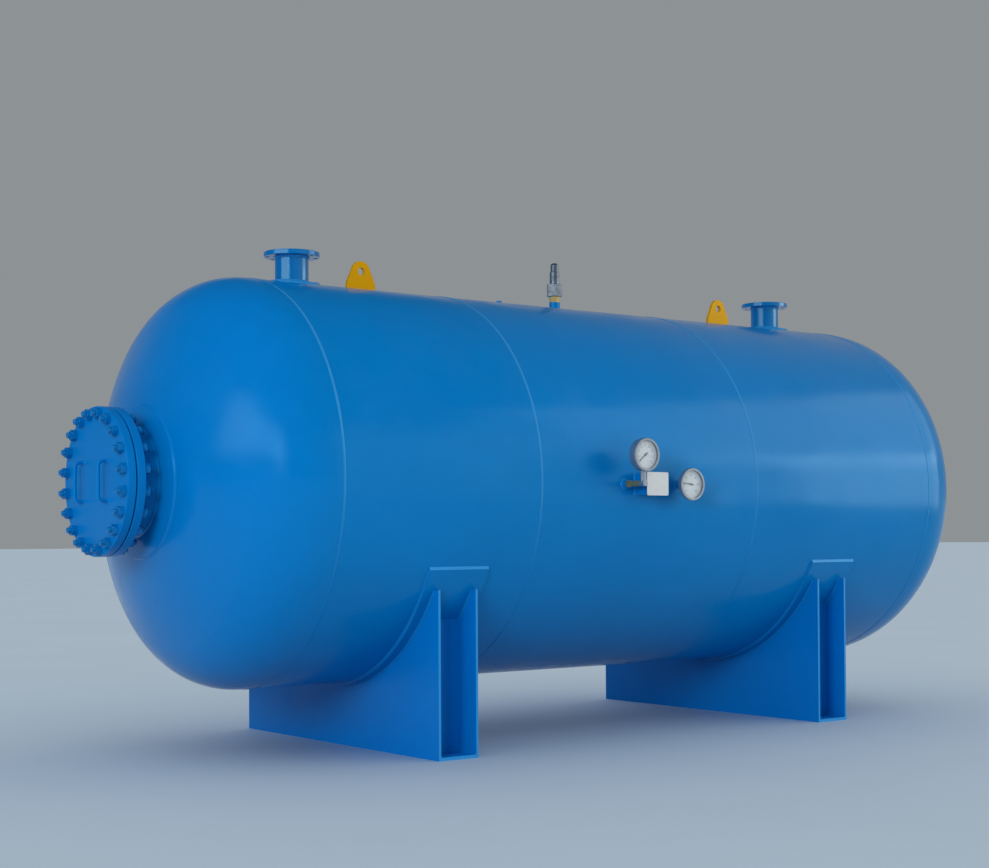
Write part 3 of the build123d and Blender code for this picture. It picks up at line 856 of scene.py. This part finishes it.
class TANK_OT_fitting_welds(bpy.types.Operator):
    """Lay the fillets round the half couplings and along the nameplate bracket"""

    bl_idname = "tank.fitting_welds"
    bl_label = "Fitting welds"

    def execute(self, context):
        sizes = context.scene.tank_welds
        leg = sizes.fitting_leg
        beads = bmesh.new()
        on_crown = {"safety_valve_inlet": sizes.valve_coupling, "vent_plug": sizes.vent_coupling}
        for name, diameter in on_crown.items():
            low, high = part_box(name)
            x = (low.x + high.x) / 2
            edge = Vector((x + diameter / 2, 0, CROWN_HEIGHT))
            outline = fillet_points(edge, ALONG, UP, leg)
            round_bead(beads, outline, Vector((x, 0, 0)), UP, settle=onto_crown(SHELL_RADIUS))
        for name in ("gauge_cock", "thermometer_stem"):
            low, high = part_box(name)
            centre = Vector(((low.x + high.x) / 2, 0, (low.z + high.z) / 2))
            edge = centre + ALONG * sizes.side_coupling / 2 - SIDEWAYS * SHELL_RADIUS
            outline = fillet_points(edge, ALONG, -SIDEWAYS, leg)
            round_bead(beads, outline, centre, SIDEWAYS, settle=onto_side(SHELL_RADIUS))
        low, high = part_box("nameplate_bracket")
        for x, out in ((low.x, -ALONG), (high.x, ALONG)):
            foot = Vector((x, -SHELL_RADIUS, low.z))
            outline = fillet_points(foot, out, -SIDEWAYS, leg)
            straight_bead(beads, outline, UP * (high.z - low.z), onto_side(SHELL_RADIUS))
        finish_mesh("fitting_welds", beads, finish("weld_paint"))
        return {"FINISHED"}


# A nut's corners are turned down by this many flat cuts, which lean 30 degrees
NUT_CUTS = 24
NUT_SLOPE = Vector((0.5, 0, math.sqrt(0.75)))


class TANK_OT_manway_bolts(bpy.types.Operator):
    """Put a threaded stud and two hexagonal nuts in each hole of the manway"""

    bl_idname = "tank.manway_bolts"
    bl_label = "Manway studs and nuts"

    def execute(self, context):
        sizes = context.scene.tank_bolts
        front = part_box("manway_cover")[0].x
        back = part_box("manway_flange")[1].x
        half_pitch = math.pi / sizes.count
        first = Matrix.Rotation(half_pitch, 3, ALONG) @ (SIDEWAYS * sizes.circle / 2)
        place = Vector((0, 0, AXIS_HEIGHT)) + first
        studs = bmesh.new()
        self.stud(studs, sizes, place, front, back)
        self.repeat(studs, sizes)
        finish_mesh("manway_studs", studs, finish("nut_paint"))
        nuts = bmesh.new()
        for x, out in ((front, -1), (back, 1)):
            nut = self.nut(sizes)
            turn = Matrix.Rotation(out * math.pi / 2, 4, "Y")
            where = Matrix.Translation(Vector((x, place.y, place.z)))
            bmesh.ops.transform(nut, matrix=where @ turn, verts=nut.verts)
            join(nuts, nut)
        self.repeat(nuts, sizes)
        finish_mesh("manway_nuts", nuts, finish("nut_paint"), smooth_angle=20)
        return {"FINISHED"}

    def stud(self, bm, sizes, place, front, back):
        """A threaded stud through the cover and flange, with a chamfer at each end."""
        radius = sizes.stud_size / 2
        root = radius - sizes.thread_depth
        reach = (back - front) / 2 + sizes.nut_height + sizes.stud_end
        point = sizes.thread_pitch / 2
        threads = int((sizes.stud_end - point) / sizes.thread_pitch)
        end = [(0, reach), (root * 0.6, reach - point / 3), (root, reach - point)]
        for turn in range(threads):
            crest = reach - point - (turn + 0.5) * sizes.thread_pitch
            end += [(radius, crest), (root, crest - sizes.thread_pitch / 2)]
        outline = end + [(across, -height) for across, height in reversed(end)]
        origin = Vector(((front + back) / 2, place.y, place.z))
        turned(bm, outline, origin, ALONG, UP, steps=20)

    def nut(self, sizes):
        """A hexagonal nut on the XY plane, with its outer corners turned down."""
        bm = bmesh.new()
        corner = sizes.nut_width / math.sqrt(3)
        bmesh.ops.create_cone(
            bm, cap_ends=True, segments=6, radius1=corner, radius2=corner, depth=sizes.nut_height
        )
        bmesh.ops.translate(bm, verts=bm.verts, vec=UP * sizes.nut_height / 2)
        edge = Vector((sizes.nut_width / 2, 0, sizes.nut_height))
        for step in range(NUT_CUTS):
            turn = Matrix.Rotation(FULL_TURN * (step + 0.5) / NUT_CUTS, 3, "Z")
            everything = bm.verts[:] + bm.edges[:] + bm.faces[:]
            cut = bmesh.ops.bisect_plane(
                bm, geom=everything, plane_co=turn @ edge, plane_no=turn @ NUT_SLOPE,
                clear_outer=True,
            )
            rim = [item for item in cut["geom_cut"] if isinstance(item, bmesh.types.BMEdge)]
            if rim:
                bmesh.ops.holes_fill(bm, edges=rim, sides=0)
        return bm

    def repeat(self, bm, sizes):
        """Copy what stands in the first hole to the rest of the bolt circle."""
        others = sizes.count - 1
        bmesh.ops.spin(
            bm,
            geom=bm.verts[:] + bm.edges[:] + bm.faces[:],
            cent=Vector((0, 0, AXIS_HEIGHT)), axis=ALONG,
            angle=FULL_TURN * others / sizes.count, steps=others, use_duplicate=True,
        )


# The numbers on each dial, and how many marks there are from one number to the next
DIAL_NUMBERS = {"pressure_gauge": range(0, 17, 2), "thermometer": range(0, 121, 20)}
MARKS_BETWEEN = 5

# The scales start at the lower left and run clockwise, in degrees
SCALE_START = 225
SCALE_SWEEP = 270


def dial_place(name):
    """The middle of a dial's face, and its radius."""
    low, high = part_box(f"{name}_dial")
    return Vector(((low.x + high.x) / 2, low.y, (low.z + high.z) / 2)), (high.x - low.x) / 2


class TANK_OT_dial_marks(bpy.types.Operator):
    """Print the scales and plain numbers on the dials"""

    bl_idname = "tank.dial_marks"
    bl_label = "Dial marks"

    def execute(self, context):
        for name, numbers in DIAL_NUMBERS.items():
            self.scale(context.scene.tank_dials, name, numbers)
        return {"FINISHED"}

    def scale(self, sizes, name, numbers):
        """A scale over three quarters of a turn, from the lower left to the lower right."""
        face = Matrix.Translation(dial_place(name)[0]) @ Matrix.Rotation(math.pi / 2, 4, "X")
        marks = bmesh.new()
        last = (len(numbers) - 1) * MARKS_BETWEEN
        for step in range(last + 1):
            angle = math.radians(SCALE_START - SCALE_SWEEP * step / last)
            is_long = step % MARKS_BETWEEN == 0
            long = sizes.long_mark if is_long else sizes.short_mark
            wide = sizes.mark_width if is_long else sizes.mark_width / 2
            mark = bmesh.ops.create_cube(marks, size=1)["verts"]
            shape = Matrix.Diagonal((long, wide, sizes.ink_thickness, 1))
            out = Matrix.Translation((sizes.mark_radius - long / 2, 0, sizes.ink_thickness / 2))
            turn = Matrix.Rotation(angle, 4, "Z")
            bmesh.ops.transform(marks, matrix=face @ turn @ out @ shape, verts=mark)
        for index, number in enumerate(numbers):
            angle = math.radians(SCALE_START - SCALE_SWEEP * index / (len(numbers) - 1))
            spot = Vector((math.cos(angle), math.sin(angle), 0)) * sizes.number_radius
            self.number(marks, str(number), sizes, face @ Matrix.Translation(spot))
        finish_mesh(f"{name}_marks", marks, finish("pointer_black"))

    def number(self, marks, text, sizes, place):
        """A number as a thin raised print."""
        curve = bpy.data.curves.new("number", "FONT")
        curve.body = text
        curve.size = sizes.number_size
        curve.align_x = "CENTER"
        curve.align_y = "CENTER"
        curve.extrude = sizes.ink_thickness / 2
        curve.resolution_u = 3
        letters = bpy.data.objects.new("number", curve)
        bpy.context.scene.collection.objects.link(letters)
        bpy.context.view_layer.update()
        mesh = bpy.data.meshes.new_from_object(letters)
        raise_by = Matrix.Translation((0, 0, sizes.ink_thickness / 2))
        mesh.transform(place @ raise_by)
        marks.from_mesh(mesh)
        bpy.data.objects.remove(letters)
        bpy.data.curves.remove(curve)
        bpy.data.meshes.remove(mesh)


class TANK_OT_dial_spacers(bpy.types.Operator):
    """Fit the rings that hold the windows off the dials, black as painted shade inside the bezels
    """

    bl_idname = "tank.dial_spacers"
    bl_label = "Dial spacers"

    def execute(self, context):
        sizes = context.scene.tank_dials
        wall = sizes.spacer_wall
        for name in DIAL_NUMBERS:
            centre, radius = dial_place(name)
            case_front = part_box(f"{name}_case")[0].y
            depth = centre.y - case_front - sizes.window_thickness
            ring = [(radius - wall, 0), (radius, 0), (radius, depth), (radius - wall, depth)]
            shade_spacer = bmesh.new()
            points = [centre + ALONG * across - SIDEWAYS * out for across, out in ring]
            verts, edges = closed_loop(shade_spacer, points)
            bmesh.ops.spin(
                shade_spacer, geom=verts + edges, cent=centre, axis=SIDEWAYS, angle=FULL_TURN,
                steps=96, use_merge=True,
            )
            # Their black stands in for the shade inside the bezels
            finish_mesh(f"{name}_spacer", shade_spacer, finish("gasket"))
        return {"FINISHED"}


class TANK_OT_nameplate_rivets(bpy.types.Operator):
    """Set a domed rivet in each corner of the blank nameplate"""

    bl_idname = "tank.nameplate_rivets"
    bl_label = "Nameplate rivets"

    def execute(self, context):
        sizes = context.scene.tank_dials
        inset, radius, height = sizes.rivet_inset, sizes.rivet_radius, sizes.rivet_height
        low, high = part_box("nameplate")
        rivets = bmesh.new()
        outline = [(0, height), (radius * 0.6, height * 0.8), (radius, 0), (0, -height / 2)]
        for x in (low.x + inset, high.x - inset):
            for z in (low.z + inset, high.z - inset):
                turned(rivets, outline, Vector((x, low.y, z)), -SIDEWAYS, ALONG, steps=16)
        finish_mesh("nameplate_rivets", rivets, finish("nameplate"))
        return {"FINISHED"}


# Stage

# Where each soft box stands, what it faces, its width and height, and its tint. The paint only
# mirrors those that shine, and is only lit by the others.
TANK_MIDDLE = (0, 0, AXIS_HEIGHT)
REAR_HALF = (2, -0.8, AXIS_HEIGHT)
OVER_HEAD = (-2.3, -0.8, 3.45)
COOL = (0.9, 0.92, 1)
WARM = (1, 0.96, 0.74)
SOFT_BOXES = {
    "key": {"place": (-9, -6, 3.4), "target": TANK_MIDDLE, "size": (3.4, 3), "tint": COOL},
    "fill": {"place": (7, -8, 3.4), "target": TANK_MIDDLE, "size": (8, 6), "tint": WARM},
    "side": {"place": (-8.8, -1.9, 3.45), "target": OVER_HEAD, "size": (7.5, 2.1), "tint": COOL},
    "window": {
        "place": (-8.2, -1.84, 3.45), "target": OVER_HEAD, "size": (7.5, 2.1),
        "tint": (0.9, 0.95, 0.85), "shines": True,
    },
    "veil": {
        "place": (10, -6.5, 2), "target": REAR_HALF, "size": (5, 5),
        "tint": (0.95, 1, 0.95), "shines": True,
    },
    "haze": {
        "place": (10, -6, 6.3), "target": REAR_HALF, "size": (8, 6),
        "tint": (0.95, 1, 1), "shines": True,
    },
    "back": {"place": (1, 9, 4.2), "target": TANK_MIDDLE, "size": (8, 4), "tint": (0.95, 0.97, 1)},
}
TOP_LIGHT_SPREAD = math.radians(150)

# Width of the camera's frame, in millimetres
SENSOR_WIDTH = 36


def soft_box(name, power, floor, place, target, size, tint, shines=False):
    """A soft box that faces a point. It leaves out the floor, which stays even."""
    data = bpy.data.lights.new(name, "AREA")
    data.shape = "RECTANGLE"
    data.size, data.size_y = size
    data.energy = power
    data.color = tint
    light = bpy.data.objects.new(name, data)
    light.location = place
    light.rotation_euler = (Vector(target) - Vector(place)).to_track_quat("-Z", "Y").to_euler()
    light.visible_diffuse = not shines
    light.visible_glossy = shines
    light.visible_camera = False
    bpy.context.scene.collection.objects.link(light)
    spared = bpy.data.collections.new(f"{name} spares")
    spared.objects.link(floor)
    spared.collection_objects[0].light_linking.link_state = "EXCLUDE"
    light.light_linking.receiver_collection = spared


def top_light(name, power, only=None):
    """Even, very soft light from straight above, that doesn't show in the paint.

    Only is the one object that it lights, where it doesn't light them all.
    """
    data = bpy.data.lights.new(name, "SUN")
    data.energy = power
    data.angle = TOP_LIGHT_SPREAD
    light = bpy.data.objects.new(name, data)
    light.visible_glossy = False
    bpy.context.scene.collection.objects.link(light)
    if only:
        lit = bpy.data.collections.new(f"{name} lights")
        lit.objects.link(only)
        light.light_linking.receiver_collection = lit


class TANK_OT_stage(bpy.types.Operator):
    """Set up the pale floor, the soft studio light and the camera"""

    bl_idname = "tank.stage"
    bl_label = "Stage"

    def execute(self, context):
        stage = context.scene.tank_stage
        floor = self.floor(stage)
        self.room(context, stage)
        for name, settings in SOFT_BOXES.items():
            soft_box(name, getattr(stage, f"{name}_power"), floor, **settings)
        top_light("top", stage.top_strength)
        top_light("floor top", stage.floor_strength, floor)
        self.camera(context, stage)
        context.scene.view_settings.view_transform = "Standard"
        return {"FINISHED"}

    def floor(self, stage):
        """A large, plain, pale floor."""
        bm = bmesh.new()
        bmesh.ops.create_grid(bm, x_segments=1, y_segments=1, size=stage.floor_size / 2)
        mesh = bpy.data.meshes.new("floor")
        bm.to_mesh(mesh)
        bm.free()
        floor = bpy.data.objects.new("floor", mesh)
        bpy.context.scene.collection.objects.link(floor)
        mesh.materials.append(floor_finish("floor", stage.floor_colour))
        return floor

    def room(self, context, stage):
        """Even light from all round, pale to the right and ahead, deep blue behind and above.

        Seen straight, the room is one plain backdrop from every side.
        """
        world = bpy.data.worlds.new("room")
        world.use_nodes = True
        tree = world.node_tree
        background = tree.nodes["Background"]
        background.inputs["Strength"].default_value = stage.room_strength
        place = tree.nodes.new("ShaderNodeTexCoord")
        split = tree.nodes.new("ShaderNodeSeparateXYZ")
        tree.links.new(place.outputs["Generated"], split.inputs["Vector"])
        across = map_range(tree, split.outputs["X"], 0, 1, from_low=-0.6, from_high=0.4)
        level = mix_colours(tree, across, stage.behind_colour, stage.ahead_colour)
        high = map_range(tree, split.outputs["Z"], 0, 1, from_low=0.32, from_high=0.5)
        left = map_range(tree, split.outputs["X"], 1, 0, from_low=0.56, from_high=0.74)
        deep = tree.nodes.new("ShaderNodeMath")
        deep.operation = "MULTIPLY"
        tree.links.new(high, deep.inputs[0])
        tree.links.new(left, deep.inputs[1])
        light = mix_colours(tree, deep.outputs["Value"], level, stage.above_colour)
        sight = tree.nodes.new("ShaderNodeLightPath")
        seen = mix_colours(tree, sight.outputs["Is Camera Ray"], light, stage.backdrop_colour)
        tree.links.new(seen, background.inputs["Color"])
        context.scene.world = world

    def camera(self, context, stage):
        """The camera, at the photograph's viewing angle."""
        data = bpy.data.cameras.new("camera")
        data.sensor_width = SENSOR_WIDTH
        data.lens = stage.lens
        data.shift_y = stage.rise
        camera = bpy.data.objects.new("camera", data)
        camera.location = stage.eye
        level = Euler((math.pi / 2 + stage.tilt, 0, -stage.heading)).to_matrix()
        turn = level @ Matrix.Rotation(stage.roll, 3, "Z")
        camera.rotation_euler = turn.to_euler()
        context.scene.collection.objects.link(camera)
        context.scene.camera = camera


SETTINGS = {
    "tank_finish": TankFinishSettings,
    "tank_welds": TankWeldSettings,
    "tank_bolts": TankBoltSettings,
    "tank_dials": TankDialSettings,
    "tank_stage": TankStageSettings,
}
OPERATORS = (
    TANK_OT_surfaces,
    TANK_OT_girth_welds,
    TANK_OT_manway_welds,
    TANK_OT_nozzle_welds,
    TANK_OT_lug_welds,
    TANK_OT_saddle_welds,
    TANK_OT_fitting_welds,
    TANK_OT_manway_bolts,
    TANK_OT_dial_marks,
    TANK_OT_dial_spacers,
    TANK_OT_nameplate_rivets,
    TANK_OT_stage,
)


class TANK_PT_panel(bpy.types.Panel):
    """Lists the steps that finish the tank"""

    bl_idname = "TANK_PT_panel"
    bl_label = "Pressure tank"
    bl_space_type = "VIEW_3D"
    bl_region_type = "UI"
    bl_category = "Tank"

    def draw(self, context):
        for operator in OPERATORS:
            self.layout.operator(operator.bl_idname)
        for name, settings in SETTINGS.items():
            box = self.layout.box()
            box.label(text=settings.__doc__)
            for item in settings.__annotations__:
                box.prop(getattr(context.scene, name), item)


def register():
    """Make the settings, operators and panel known."""
    for name, settings in SETTINGS.items():
        bpy.utils.register_class(settings)
        setattr(bpy.types.Scene, name, bpy.props.PointerProperty(type=settings))
    for entry in (*OPERATORS, TANK_PT_panel):
        bpy.utils.register_class(entry)


def unregister():
    """Take them away again."""
    for entry in reversed((*OPERATORS, TANK_PT_panel)):
        bpy.utils.unregister_class(entry)
    for name, settings in reversed(SETTINGS.items()):
        delattr(bpy.types.Scene, name)
        bpy.utils.unregister_class(settings)


def main():
    """Finish the tank, step by step."""
    register()
    for operator in OPERATORS:
        group, step = operator.bl_idname.split(".")
        getattr(getattr(bpy.ops, group), step)()


if __name__ == "__main__":
    main()
